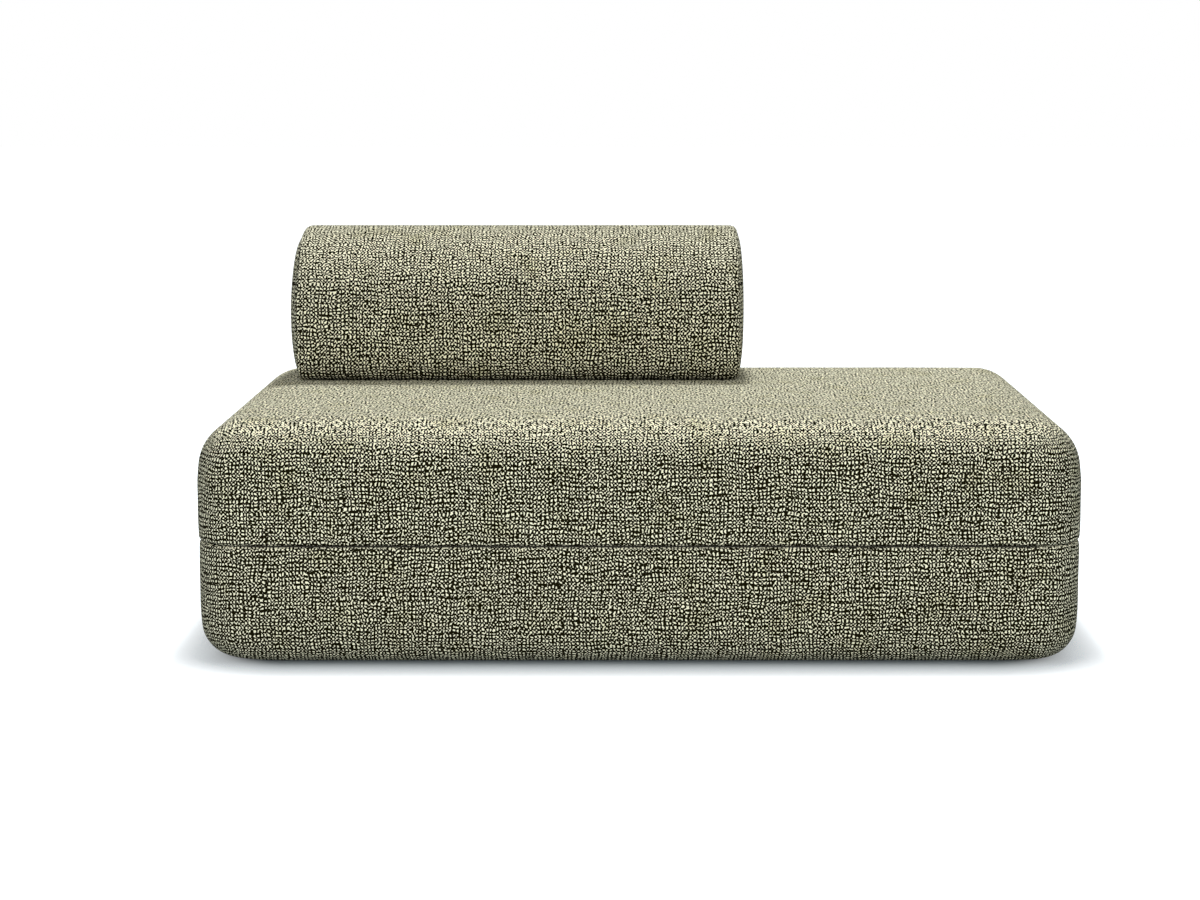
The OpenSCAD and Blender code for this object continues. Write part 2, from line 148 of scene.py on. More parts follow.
# Lumps and puckers of the filled covers
LUMP_DEPTH = 0.0006
LUMP_SIZE = 0.15
BOLSTER_LUMP_SIZE = 0.12
PUCKER_DEPTH = 0.0008
PUCKER_SIZE = 0.028
PUCKER_STRETCH = 0.3
PUCKER_START = 0.02
PUCKER_END = 0.06
MOST_DIMPLE = 0.0012
SEAM_LEVEL = 0.002

# How far round the zip, and how near the floor, a cover is held from swelling
ZIP_FIRM, ZIP_HOLD = 0.004, 0.03
ZIP_FIRM_H, ZIP_HOLD_H = 0.018, 0.045
FLOOR_FIRM, FLOOR_HOLD = 0.008, 0.03
FOOT_FIRM, FOOT_HOLD = 0.001, 0.05

# Distance between the yarns of the weave and of the sleep faces, and how much wider the bolster's are
WEAVE_PERIOD = 0.0068
SLEEP_PERIOD = 0.0052
BOLSTER_WIDER = 1.1

# Colours of the gaps, the shaded yarns and the pale yarns, and the heights at which gap turns into yarn.
# The dark gaps and shaded yarns are painted shade in the hollows between the yarns
WEAVE_COLOURS = (0.006, 0.005, 0.0001, 1), (0.058, 0.053, 0.004, 1), (0.98, 0.955, 0.71, 1)
SLEEP_COLOURS = (0.05, 0.045, 0.02, 1), (0.3, 0.29, 0.2, 1), (0.9, 0.88, 0.74, 1)
WEAVE_LEVELS = 0.57, 0.625
SLEEP_LEVELS = 0.44, 0.62

# Tint of some yarns, and its share in their colour
OLIVE = (0.66, 0.63, 0.36, 1)
OLIVE_SHARE = 0.4

# How far the yarns rise, as a share of their rise on the seat, and how much less on what faces down.
# Higher yarns pale the weave, so this is painted light on what faces up and painted shade on what faces
# down; the sleep faces' rise is even
BOLSTER_LEAST, BOLSTER_MOST = 0.22, 0.66
FLOOR_PAINTED_SHADE, BOLSTER_PAINTED_SHADE = 0.1, 0.9
SLEEP_LOFT = 0.5


def ease(value, low, high):
    """0 below low, 1 above high, and smooth in between."""
    share = np.clip((value - low) / (high - low), 0, 1)
    return share * share * (3 - 2 * share)


def arc(centre, radius, start, end, steps):
    """Points round an arc from start to end, in degrees, without the first."""
    angles = np.radians(start + (end - start) * np.arange(1, steps + 1) / steps)
    return [(centre[0] + radius * math.cos(a), centre[1] + radius * math.sin(a)) for a in angles]


def run_along(line):
    """How far along a line each of its points lies."""
    return np.concatenate([[0], np.cumsum(np.linalg.norm(np.diff(line, axis=0), axis=1))])


def spread(points, step):
    """Points evenly spaced about step apart along a line, from its first point to its last."""
    points = np.array(points, float)
    along = run_along(points)
    count = max(1, round(along[-1] / step))
    places = np.linspace(0, along[-1], count + 1)
    return list(zip(*(np.interp(places, along, column) for column in points.T)))


def add_object(name, data):
    made = bpy.data.objects.new(name, data)
    bpy.context.scene.collection.objects.link(made)
    return made


def new_piece(name, points, faces, slots=None):
    """A mesh object with these points, faces and material slot numbers."""
    mesh = bpy.data.meshes.new(name)
    mesh.from_pydata([tuple(p) for p in points], [], faces)
    if slots is not None:
        mesh.polygons.foreach_set("material_index", slots)
    mesh.update()
    return add_object(name, mesh)


def points_of(mesh, what="co"):
    """The places of a mesh's points, or another of their vectors."""
    values = np.zeros(len(mesh.vertices) * 3)
    mesh.vertices.foreach_get(what, values)
    return values.reshape(-1, 3)


def normals_of(mesh):
    return points_of(mesh, "normal")


def move_points(mesh, places):
    mesh.vertices.foreach_set("co", np.asarray(places, float).ravel())
    mesh.update()


def finish_modifiers(piece):
    """Replaces a piece's mesh by what its modifiers make of it."""
    depsgraph = bpy.context.evaluated_depsgraph_get()
    made = bpy.data.meshes.new_from_object(piece.evaluated_get(depsgraph), depsgraph=depsgraph)
    piece.modifiers.clear()
    old, name = piece.data, piece.data.name
    piece.data = made
    bpy.data.meshes.remove(old)
    made.name = name


def face_outward(piece):
    """Turns the faces of a closed piece so that they all face out."""
    mesh = bmesh.new()
    mesh.from_mesh(piece.data)
    bmesh.ops.recalc_face_normals(mesh, faces=mesh.faces)
    mesh.to_mesh(piece.data)
    mesh.free()


def smooth(piece, angle=40):
    """Smooth shading, apart from folds sharper than angle degrees."""
    piece.data.shade_smooth()
    piece.data.set_sharp_from_angle(angle=math.radians(angle))


def tube(first, count, rings):
    """The faces between rings of count points each, the first of which starts at point first."""
    return [(a + i, a + (i + 1) % count, a + count + (i + 1) % count, a + count + i)
            for a in range(first, first + count * (rings - 1), count) for i in range(count)]


class Mattress:
    """Plan and profile of one mattress. Heights are counted from its sleep face to its outer face."""

    def __init__(self, cover, outer_up, edge_r, crown, wider, puff):
        low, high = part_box(cover)
        self.half_w, self.half_d, self.thick = high.x + wider, high.y, high.z - low.z + puff
        self.way = 1 if outer_up else -1
        self.sleep_z = low.z if outer_up else high.z
        self.edge_r, self.crown = edge_r, crown
        self.core_w, self.core_d = self.half_w - CORNER_R, self.half_d - CORNER_R
        self.edge_start = EDGE_DRAW + edge_r
        self.rows, self.panel_row = self.profile()

    def profile(self):
        """Inset and height of each ring down to the sleep face, and the panel's first ring."""
        top = self.thick - self.crown
        edge_foot = top - self.edge_r
        step = MATTRESS_STEP
        rows = [(CORNER_R, top)]
        if CORNER_R - self.edge_start > step / 2:
            rows += spread([(CORNER_R, top), (self.edge_start, top)], step)[1:]
        edge_steps = round(self.edge_r * math.pi / 2 / step)
        rows += arc((self.edge_start, edge_foot), self.edge_r, 90, 180, edge_steps)
        heights = spread([(edge_foot,), (BELLY_HIGH,)], step)[1:]
        rows += [(EDGE_DRAW * ((h - BELLY_HIGH) / (edge_foot - BELLY_HIGH)) ** 2, h) for h, in heights]
        rows += spread([(0, BELLY_HIGH), (0, BELLY_LOW)], step)[1:]
        heights = spread([(BELLY_LOW,), (SEAM_EDGE_R,)], step)[1:]
        rows += [(SEAM_DRAW * ((BELLY_LOW - h) / (BELLY_LOW - SEAM_EDGE_R)) ** 2, h) for h, in heights]
        rows += arc((SEAM_DRAW + SEAM_EDGE_R, SEAM_EDGE_R), SEAM_EDGE_R, 180, 270, 4)
        rows += [(PANEL_INSET, 0)]
        panel_row = len(rows) - 1
        rows += spread([(PANEL_INSET, 0), (CORNER_R, 0)], step)[1:]
        return rows, panel_row

    def crowned(self, x, y):
        """Height of the outer face over a point of its flat middle."""
        s = np.clip(np.abs(x) / (self.half_w - self.edge_start), 0, 1) ** 2
        t = np.clip(np.abs(y) / (self.half_d - self.edge_start), 0, 1) ** 2
        return self.thick - self.crown * (s + t - s * t)

    def columns(self):
        """Core point, outward normal and place in the middle grid of each column, round the plan."""
        nx = round(2 * self.core_w / MATTRESS_STEP)
        ny = round(2 * self.core_d / MATTRESS_STEP)
        corner = round(CORNER_R * math.pi / 2 / MATTRESS_STEP)
        cores, normals, places = [], [], []

        def add(i, j, degrees):
            cores.append((self.core_w * (2 * i / nx - 1), self.core_d * (2 * j / ny - 1)))
            normals.append((math.cos(math.radians(degrees)), math.sin(math.radians(degrees))))
            places.append(j * (nx + 1) + i)

        sides = (
            [(i, 0) for i in range(nx + 1)],
            [(nx, j) for j in range(ny + 1)],
            [(nx - i, ny) for i in range(nx + 1)],
            [(0, ny - j) for j in range(ny + 1)],
        )
        for side, spots in enumerate(sides):
            for i, j in spots:
                add(i, j, 90 * side - 90)
            for k in range(1, corner):
                add(*spots[-1], 90 * side - 90 + 90 * k / corner)
        return nx, ny, np.array(cores), np.array(normals), places

    def build(self, name):
        """The closed cushion, with its sewn panel in material slot 1."""
        nx, ny, cores, normals, places = self.columns()
        grid = np.array([(self.core_w * (2 * i / nx - 1), self.core_d * (2 * j / ny - 1))
                         for j in range(ny + 1) for i in range(nx + 1)])
        top = np.column_stack([grid, self.crowned(grid[:, 0], grid[:, 1])])
        layers, rings = [top], [np.array(places)]
        count = len(top)
        for inset, height in self.rows[1:-1]:
            ring = cores + (CORNER_R - inset) * normals
            layers.append(np.column_stack([ring, np.full(len(ring), height)]))
            rings.append(count + np.arange(len(ring)))
            count += len(ring)
        layers.append(np.column_stack([grid, np.zeros(len(grid))]))
        rings.append(count + np.array(places))
        faces, slots = [], []

        def add(face, slot):
            face = list(dict.fromkeys(int(k) for k in face))
            faces.append(face if self.way > 0 else face[::-1])
            slots.append(slot)

        for j in range(ny):
            for i in range(nx):
                a = j * (nx + 1) + i
                add((a, a + 1, a + nx + 2, a + nx + 1), 0)
                add((count + a, count + a + nx + 1, count + a + nx + 2, count + a + 1), 1)
        for row in range(len(rings) - 1):
            a, b = rings[row], rings[row + 1]
            for i in range(len(a)):
                k = (i + 1) % len(a)
                add((a[i], b[i], b[k], a[k]), int(row >= self.panel_row))
        points = np.vstack(layers)
        points[:, 2] = self.sleep_z + self.way * points[:, 2]
        return new_piece(name, points, faces, slots)

    def place_of(self, points):
        """Inset and height of points, and how far down the profile from the soft edge's start they lie."""
        off = np.abs(points[:, :2]) - (self.core_w, self.core_d)
        corner = np.linalg.norm(np.maximum(off, 0), axis=1)
        inset = CORNER_R - np.where((off > 0).any(1), corner, off.max(1))
        height = self.way * (points[:, 2] - self.sleep_z)
        line = [(self.edge_start, self.thick - self.crown)]
        line += [row for row in self.rows if row[0] < self.edge_start and row[1] > 0]
        line += [(SEAM_DRAW + SEAM_EDGE_R, 0)]
        dense = np.array(spread(line, FINE_STEP))
        run = run_along(dense)
        along = np.zeros(len(points))
        for start in range(0, len(points), BATCH):
            part = slice(start, start + BATCH)
            gap = (inset[part, None] - dense[None, :, 0]) ** 2
            gap += (height[part, None] - dense[None, :, 1]) ** 2
            along[part] = run[gap.argmin(1)]
        return inset, height, along

    def round_plan(self, points):
        """How far points lie round the plan, from the middle of the left back corner past the front."""
        core = np.clip(points[:, :2], (-self.core_w, -self.core_d), (self.core_w, self.core_d))
        off = points[:, :2] - core
        turn = (np.degrees(np.arctan2(off[:, 1], off[:, 0])) - 135) % 360
        wide, deep = 2 * self.core_w, 2 * self.core_d
        left = np.where(turn < 90, self.core_d - core[:, 1], deep)
        front = np.where(turn < 180, core[:, 0] + self.core_w, wide)
        right = np.where(turn < 90, 0, np.where(turn < 270, core[:, 1] + self.core_d, deep))
        back = np.where(turn < 180, 0, self.core_w - core[:, 0])
        return left + front + right + back + CORNER_R * np.radians(turn)

    def lay_cloth(self, piece, shift):
        """Lays the cloth over the whole cushion and over its sewn parts."""
        mesh = piece.data
        points = points_of(mesh)
        _, height, along = self.place_of(points)
        whole = 4 * (self.core_w + self.core_d) + 2 * math.pi * CORNER_R
        front_middle = CORNER_R * math.radians(135) + 2 * self.core_d + self.core_w
        straight = np.array([self.half_w, self.half_d]) - self.edge_start
        over = over_edge(points[:, :2], straight, self.edge_r)
        band = np.column_stack([self.round_plan(points) - front_middle, -straight[1] - along])
        flats = (height < SEAM_LIP, points[:, :2]), (along < self.edge_r * math.pi / 4, over)
        write_cloth(mesh, flats, band, 0, whole, shift)

    def freedom(self, points, zip_z):
        """How freely each point may swell: not at all where it rests, is sewn or holds the zip."""
        _, height, _ = self.place_of(points)
        free = ease(height, SEAM_EDGE_R, BELLY_LOW)
        free *= 1 - held_by_zip(points, self.half_d, zip_z)
        if self.way < 0:
            free *= 1 - ease(height, self.thick - FLOOR_HOLD, self.thick - FLOOR_FIRM)
        return free


def held_by_zip(points, back_y, zip_z):
    """How firmly the zip in a back face holds each point."""
    held = ease(points[:, 1], back_y - ZIP_HOLD, back_y - ZIP_FIRM)
    return held * (1 - ease(np.abs(points[:, 2] - zip_z), ZIP_FIRM_H, ZIP_HOLD_H))


def over_edge(places, straight, radius):
    """Distance over a flat and round its edge, from the middle outwards."""
    past = np.clip((np.abs(places) - straight) / radius, 0, 1)
    return np.sign(places) * (np.minimum(np.abs(places), straight) + radius * np.arcsin(past))


def write_cloth(mesh, flats, band, axis, whole, shift, wider=1.0):
    """Writes where each face corner lies in the flat cloth: in the first flat part that holds its face,
    or else in the band round the cushion, which is whole long on its axis."""
    corners = np.zeros((len(mesh.loops), 3))
    for face in mesh.polygons:
        spots = list(face.vertices)
        run = next((flat[spots] for inside, flat in flats if inside[spots].all()), None)
        if run is None:
            run = band[spots]
            along = run[:, axis]
            if np.ptp(along) > whole / 2:
                run[along < along.mean(), axis] += whole
        corners[face.loop_start:face.loop_start + face.loop_total, :2] = run
    made = mesh.attributes.new("cloth_run", "FLOAT_VECTOR", "CORNER")
    made.data.foreach_set("vector", (corners / wider + shift).ravel())


class Bolster:
    """Section and length of the bolster. Its section lies in Y and Z, from its front foot."""

    def __init__(self):
        low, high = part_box("bolster_cover")
        self.low, self.depth, self.height = low, high.y - low.y, high.z - low.z
        self.middle_x, self.half_l = (low.x + high.x) / 2, (high.x - low.x) / 2
        self.end_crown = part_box("bolster_right_end")[1].x - high.x
        self.section = self.outline()

    def outline(self):
        """Evenly spaced points round the section, from the middle of the underside up the front."""
        top_y, top_r = self.depth - BOLSTER_BACK_R, self.height - BOLSTER_BELLY_H
        turns = np.radians(np.linspace(0, 90, 61))
        line = [(self.depth / 2, 0)]
        line += [(BOLSTER_TUCK * (1 - math.sin(a)), BOLSTER_BELLY_H * (1 - math.cos(a))) for a in turns]
        line += [(top_y * (1 - math.cos(a)), BOLSTER_BELLY_H + top_r * math.sin(a)) for a in turns[1:]]
        line += arc((top_y, self.height - BOLSTER_BACK_R), BOLSTER_BACK_R, 90, 0, 60)
        line += [(self.depth, BOLSTER_FOOT_R)]
        line += arc((self.depth - BOLSTER_FOOT_R, BOLSTER_FOOT_R), BOLSTER_FOOT_R, 0, -90, 30)
        line += [(self.depth / 2, 0)]
        whole = run_along(line)[-1]
        self.side_steps = round(whole / BOLSTER_STEP / 4)
        return np.array(spread(line, whole / (4 * self.side_steps))[:-1])

    def drawn_in(self, inset):
        """The section drawn in towards its middle."""
        middle = np.array([self.depth / 2, self.height / 2])
        return middle + (self.section - middle) * (1 - inset / middle)

    def build(self, name):
        """The closed cushion, with its sewn ends in material slots 1 and 2."""
        rows = [(-self.half_l, BOLSTER_END_R + BOLSTER_LIP), (-self.half_l, BOLSTER_END_R)]
        straight = self.half_l - BOLSTER_END_R
        rows += [(-straight - x, BOLSTER_END_R - r) for r, x in arc((0, 0), BOLSTER_END_R, 90, 0, 4)]
        rows += spread([(-straight, 0), (straight, 0)], BOLSTER_STEP)[1:-1]
        rows += [(-x, inset) for x, inset in rows[5::-1]]
        count = len(self.section)
        points = [(x, y, z) for x, inset in rows for y, z in self.drawn_in(inset)]
        faces = tube(0, count, len(rows))
        slots = [0] * len(faces)
        for slot, first, side in ((1, 0, -1), (2, (len(rows) - 1) * count, 1)):
            self.close_end(points, faces, slots, slot, first, side)
        points = np.array(points) + (self.middle_x, self.low.y, self.low.z)
        piece = new_piece(name, points, faces, slots)
        face_outward(piece)
        return piece

    def close_end(self, points, faces, slots, slot, first, side):
        """A domed grid between the four quarters of an end's ring."""
        n = self.side_steps
        puff = LEFT_END_PUFF if side < 0 else RIGHT_END_PUFF
        ring = [first + (n // 2 + k) % (4 * n) for k in range(4 * n)]
        names = {}
        for k in range(n):
            names[(k, 0)] = ring[k]
            names[(n, k)] = ring[n + k]
            names[(n - k, n)] = ring[2 * n + k]
            names[(0, n - k)] = ring[3 * n + k]

        def at(i, j):
            return np.array(points[names[(i, j)]])

        for i in range(1, n):
            for j in range(1, n):
                u, v = i / n, j / n
                place = ((1 - v) * at(i, 0) + v * at(i, n) + (1 - u) * at(0, j) + u * at(n, j)
                         - (1 - u) * (1 - v) * at(0, 0) - u * (1 - v) * at(n, 0)
                         - (1 - u) * v * at(0, n) - u * v * at(n, n))
                share = (math.sin(math.pi * u) * math.sin(math.pi * v)) ** END_PUFF_POWER
                place[0] += side * (self.end_crown + puff) * share
                names[(i, j)] = len(points)
                points.append(tuple(place))
        for i in range(n):
            for j in range(n):
                faces.append((names[(i, j)], names[(i + 1, j)], names[(i + 1, j + 1)], names[(i, j + 1)]))
                slots.append(slot)

    def lay_cloth(self, piece, shift):
        """Lays the cloth over the whole cushion and over its sewn parts."""
        mesh = piece.data
        points = points_of(mesh) - (self.middle_x, self.low.y, self.low.z)
        sides = np.linalg.norm(np.diff(self.section, axis=0, append=self.section[:1]), axis=1)
        run = np.concatenate([[0], np.cumsum(sides)[:-1]])
        along = np.zeros(len(points))
        ways = np.roll(self.section, -1, axis=0) - self.section
        for start in range(0, len(points), BATCH):
            part = points[start:start + BATCH, 1:]
            off = part[:, None] - self.section[None]
            share = np.clip((off * ways).sum(2) / (ways * ways).sum(1), 0, 1)
            gap = np.linalg.norm(off - share[:, :, None] * ways, axis=2)
            near = gap.argmin(1)
            along[start:start + BATCH] = run[near] + share[np.arange(len(part)), near] * sides[near]
        straight = self.half_l - BOLSTER_END_R
        ends = [(np.abs(points[:, 0]) - straight > BOLSTER_END_R * 0.7, points[:, 1:] + (2.0, 0.0))]
        band = np.column_stack([over_edge(points[:, 0], straight, BOLSTER_END_R), along])
        write_cloth(mesh, ends, band, 1, sides.sum(), shift, BOLSTER_WIDER)

    def freedom(self, points, zip_z):
        """How freely each point may swell: not at all where it rests or holds the zip."""
        loose = ease(points[:, 2] - self.low.z, FOOT_FIRM, FOOT_HOLD)
        return loose * (1 - held_by_zip(points, self.low.y + self.depth, zip_z))


def swell(piece, free):
    """Swells a closed cushion by cloth simulation, from a little inside its place to a little outside."""
    mesh = piece.data
    placed, normals = points_of(mesh), normals_of(mesh)
    start = placed - normals * (SWELL_START * free)[:, None]
    move_points(mesh, start)
    held = piece.vertex_groups.new(name="held")
    for index, share in enumerate(free):
        held.add([index], 1 - float(share) * (1 - FILLING_HOLD), "REPLACE")
    modifier = piece.modifiers.new("swell", "CLOTH")
    modifier.collision_settings.use_collision = False
    cloth = modifier.settings
    cloth.quality = 4
    cloth.mass = 0.25
    cloth.tension_stiffness = 15
    cloth.compression_stiffness = 10
    cloth.shear_stiffness = 6
    cloth.bending_stiffness = 0.8
    cloth.use_pressure = True
    cloth.uniform_pressure_force = CLOTH_PRESSURE
    cloth.vertex_group_mass = "held"
    cloth.effector_weights.gravity = 0
    scene = bpy.context.scene
    for number in range(1, CLOTH_FRAMES + 1):
        scene.frame_set(number)
    moved = points_of(piece.evaluated_get(bpy.context.evaluated_depsgraph_get()).data) - start
    scene.frame_set(1)
    piece.modifiers.clear()
    piece.vertex_groups.clear()
    out = (moved * normals).sum(1)
    share = np.clip(out / np.percentile(out, 98), 0, 1)
    offset = free * (share * (SWELL_START + SWELL_MOST) - SWELL_START)
    move_points(mesh, placed + normals * offset[:, None])


def noise_at(points, size, seed):
    """Smooth noise from -1 to 1 at each point, in features of about size."""
    return np.array([noise.noise(Vector(p) / size + Vector((seed, 0, 0))) for p in points])


def dimple(piece, depth):
    """Draws each of a cushion's points in by its depth."""
    mesh = piece.data
    move_points(mesh, points_of(mesh) - normals_of(mesh) * depth[:, None])


def sink(mesh, faces, step):
    """Sinks faces of a cushion, with walls round them. step gives the way of each point."""
    grown = bmesh.ops.extrude_face_region(mesh, geom=faces)["geom"]
    mesh.normal_update()
    for vertex in [v for v in grown if isinstance(v, bmesh.types.BMVert)]:
        vertex.co += step(vertex)
    bmesh.ops.delete(mesh, geom=[f for f in faces if f.is_valid], context="FACES")


def cut_slot(piece, back_y, centre, length):
    """Cuts the zip's opening into the back of a cushion, with folded edges."""
    mesh = bmesh.new()
    mesh.from_mesh(piece.data)
    half_l, half_h = length / 2, SLOT_H / 2
    middle = Vector((centre[0], back_y, centre[1]))

    def near(reach):
        """The faces of the back within reach of the opening."""
        offs = [(face, face.calc_center_median() - middle) for face in mesh.faces]
        return [face for face, off in offs if off.y > -BACK_REACH
                and abs(off.x) < half_l + reach and abs(off.z) < half_h + reach]

    for half, way in ((half_h, Vector((0, 0, 1))), (half_l, Vector((1, 0, 0)))):
        for place in (middle + half * way, middle - half * way):
            parts = near(CUT_REACH)
            parts += [part for face in parts for part in (*face.edges, *face.verts)]
            bmesh.ops.bisect_plane(mesh, geom=list(dict.fromkeys(parts)), plane_co=place, plane_no=way)
    sink(mesh, near(0), lambda vertex: Vector((0, -SLOT_DEPTH, 0)))
    rim = [e for e in mesh.edges if len(e.link_faces) == 2
           and all(v.co.y > back_y - BACK_REACH / 2 for v in e.verts)
           and abs(e.link_faces[0].normal.y - e.link_faces[1].normal.y) > 0.7
           and abs((e.verts[0].co.z + e.verts[1].co.z) / 2 - centre[1]) < half_h + BACK_REACH / 4]
    bmesh.ops.bevel(mesh, geom=rim, offset=SLOT_FOLD, segments=3, profile=0.5, affect="EDGES")
    mesh.to_mesh(piece.data)
    mesh.free()


def lift_panel(cushion, slot, name):
    """Makes the faces of one material slot a panel of its own, sunk into a shallow seat in the cushion."""
    mesh = bmesh.new()
    mesh.from_mesh(cushion.data)
    panel = mesh.copy()
    bmesh.ops.delete(panel, geom=[f for f in panel.faces if f.material_index != slot], context="FACES")
    for vertex in [v for v in panel.verts if v.is_boundary]:
        faces = vertex.link_faces
        centre = sum((f.calc_center_median() for f in faces), Vector()) / len(faces)
        vertex.co += (centre - vertex.co).normalized() * PANEL_GAP
    for face in panel.faces:
        face.material_index = 0
    made = bpy.data.meshes.new(name)
    panel.to_mesh(made)
    panel.free()
    piece = add_object(name, made)
    thick = piece.modifiers.new("thick", "SOLIDIFY")
    thick.thickness = PANEL_T
    thick.offset = -1
    finish_modifiers(piece)
    seat = [f for f in mesh.faces if f.material_index == slot]
    sink(mesh, seat, lambda vertex: -PANEL_SUNK * vertex.normal)
    for face in mesh.faces:
        if face.material_index == slot:
            face.material_index = 0
    mesh.to_mesh(cushion.data)
    mesh.free()
    return piece


class Tree:
    """Adds nodes to the tree of a material or world. Most calls give the new node's output."""

    def __init__(self, owner):
        owner.use_nodes = True
        self.tree = owner.node_tree
        self.tree.nodes.clear()

    def node(self, kind, inputs=None, **settings):
        made = self.tree.nodes.new("ShaderNode" + kind)
        for name, value in settings.items():
            setattr(made, name, value)
        for name, value in (inputs or {}).items():
            self.put(made.inputs[name], value)
        return made

    def put(self, socket, value):
        if isinstance(value, bpy.types.NodeSocket):
            self.tree.links.new(value, socket)
        else:
            socket.default_value = value

    def math(self, operation, *values):
        return self.node("Math", dict(enumerate(values)), operation=operation).outputs[0]

    def vector(self, operation, first, second):
        return self.node("VectorMath", {0: first, 1: second}, operation=operation).outputs[0]

    def ramp(self, value, low, high, to_low=0.0, to_high=1.0):
        inputs = {"Value": value, "From Min": low, "From Max": high, "To Min": to_low, "To Max": to_high}
        return self.node("MapRange", inputs, interpolation_type="SMOOTHSTEP").outputs[0]

    def mix(self, share, first, second):
        return self.node("Mix", {0: share, 6: first, 7: second}, data_type="RGBA").outputs[2]

    def noise(self, vector, scale, detail=1.0, dimensions="2D"):
        inputs = {"Vector": vector, "Scale": scale, "Detail": detail}
        return self.node("TexNoise", inputs, noise_dimensions=dimensions).outputs[0]

    def gabor(self, vector):
        inputs = {"Vector": vector, "Scale": 1.3, "Frequency": 1.0, "Anisotropy": 0.0}
        return self.node("TexGabor", inputs, gabor_type="2D").outputs["Value"]

    def surface(self, inputs):
        shader = self.node("BsdfPrincipled", inputs).outputs[0]
        self.node("OutputMaterial", {"Surface": shader})


# What shapes the height of the yarns, and by how much. Places along the cloth are counted in yarns
YARN_WANDER = 0.8
YARN_DRIFT = 1.6
YARN_BASE = -0.14
LINE_RISE = 0.17
CROSS_RISE = 0.27
TANGLE_RISE = 0.88
FIBRE_RISE = 0.36
FLECK_RISE = 1.0
# The loft also paints light: it raises the yarns, and so pales the weave, on what faces up, and lowers
# them on what faces down
LOFT_AND_LIGHT_RISE = 0.107
WEFT_CLOSER = 0.9
DULLER = 0.88
YARN_BUMP = 0.0016


def weave_material(name, period, colours, levels):
    """A chunky irregular weave: pale yarns that wander, thicken and thin over dark gaps. The gaps'
    darkness and the darker low yarns are painted shade between the yarns.
    """
    gap, shade, strand = colours
    material = bpy.data.materials.new(name)
    t = Tree(material)
    run = t.node("Attribute", attribute_name="cloth_run").outputs["Vector"]
    place = t.vector("DIVIDE", run, (period,) * 3)
    across = t.node("SeparateXYZ", {0: place})
    drift = t.noise(place, 0.12)

    def yarns(along, stretch, shift):
        """The wave of one set of yarns, 1 on a yarn and -1 between two."""
        slow = t.vector("MULTIPLY", t.vector("ADD", place, (shift, shift * 1.7, 0)), stretch)
        moved = t.math("MULTIPLY_ADD", t.noise(slow, 1.0), YARN_WANDER, along)
        moved = t.math("MULTIPLY_ADD", drift, YARN_DRIFT, moved)
        return t.math("COSINE", t.math("MULTIPLY", moved, 2 * math.pi))

    warp = yarns(across.outputs[0], (0.55, 0.16, 1), 3.1)
    weft = yarns(t.math("MULTIPLY", across.outputs[1], WEFT_CLOSER), (0.16, 0.55, 1), 9.7)
    warp_over = t.ramp(t.noise(t.vector("MULTIPLY", place, (0.9, 0.4, 1)), 1.0), 0.38, 0.62)
    lines = t.math("MULTIPLY", warp, warp_over)
    lines = t.math("MULTIPLY_ADD", weft, t.math("SUBTRACT", 1.0, warp_over), lines)
    # Painted light and shade: the loft pales the weave on faces up, darkens it on faces down, and brings
    # flecks to the seat's top
    loft_and_light = t.node("Attribute", attribute_name="loft_and_light").outputs["Fac"]
    flecks = t.math("SUBTRACT", t.gabor(t.vector("MULTIPLY", place, (0.75, 0.25, 1))), 0.5)
    rises = (
        (lines, LINE_RISE), (t.math("MULTIPLY", warp, weft), CROSS_RISE),
        (t.gabor(place), TANGLE_RISE), (t.noise(place, 2.6), FIBRE_RISE),
        (flecks, t.ramp(loft_and_light, 0.75, 1.0, 0, FLECK_RISE)), (loft_and_light, LOFT_AND_LIGHT_RISE),
    )
    height = YARN_BASE
    for wave, rise in rises:
        height = t.math("MULTIPLY_ADD", wave, rise, height)
    yarn = t.ramp(height, *levels)
    tone = t.ramp(t.noise(place, 0.6), 0.35, 0.65)
    cream = t.mix(tone, darker(strand, DULLER), strand)
    tint = t.math("MULTIPLY", t.ramp(t.noise(place, 0.09, 2.0), 0.5, 0.8), OLIVE_SHARE)
    cream = t.mix(tint, cream, OLIVE)
    # Painted shade: the lowest places take the near-black gap colour, and the low yarns take the shaded
    # colour
    body = t.mix(t.ramp(yarn, 0.0, 0.5), gap, shade)
    colour = t.mix(t.ramp(yarn, 0.3, 0.9), body, cream)
    bump = t.node("Bump", {"Strength": 0.6, "Distance": YARN_BUMP, "Height": yarn}).outputs[0]
    t.surface({"Base Color": colour, "Normal": bump, "Roughness": 0.95, "Specular IOR Level": 0.06})
    return material


def write_loft_and_painted_light(piece, least, most, sink):
    """Writes how far the yarns rise: most on what faces up, and less by sink on what faces down. Higher
    yarns pale the weave, so this is painted light on faces up and painted shade on faces down.
    """
    mesh = piece.data
    up = normals_of(mesh)[:, 2]
    loft_and_light = least + (most - least) * ease(up, 0.15, 0.95) - sink * ease(-up, 0.3, 0.95)
    made = mesh.attributes.new("loft_and_light", "FLOAT", "POINT")
    made.data.foreach_set("value", loft_and_light)


def darker(colour, share):
    return tuple(share * c for c in colour[:3]) + (1,)


def plain_material(name, colour, roughness, grain, depth, metallic=0.0):
    """A finish with a fine grain in its colour and its bump, in object coordinates."""
    material = bpy.data.materials.new(name)
    t = Tree(material)
    place = t.node("TexCoord").outputs["Object"]
    speck = t.noise(place, grain, 3.0, dimensions="3D")
    broad = t.noise(place, grain / 12, dimensions="3D")
    shade = t.mix(t.ramp(speck, 0.3, 0.7), darker(colour, 0.72), darker(colour, 1))
    shade = t.mix(t.ramp(broad, 0.4, 0.7, 0, 0.35), shade, darker(colour, 0.85))
    bump = t.node("Bump", {"Strength": 0.5, "Distance": depth, "Height": speck}).outputs[0]
    rough = t.ramp(speck, 0.2, 0.8, roughness - 0.08, roughness)
    t.surface({"Base Color": shade, "Roughness": rough, "Normal": bump, "Metallic": metallic})
    return material


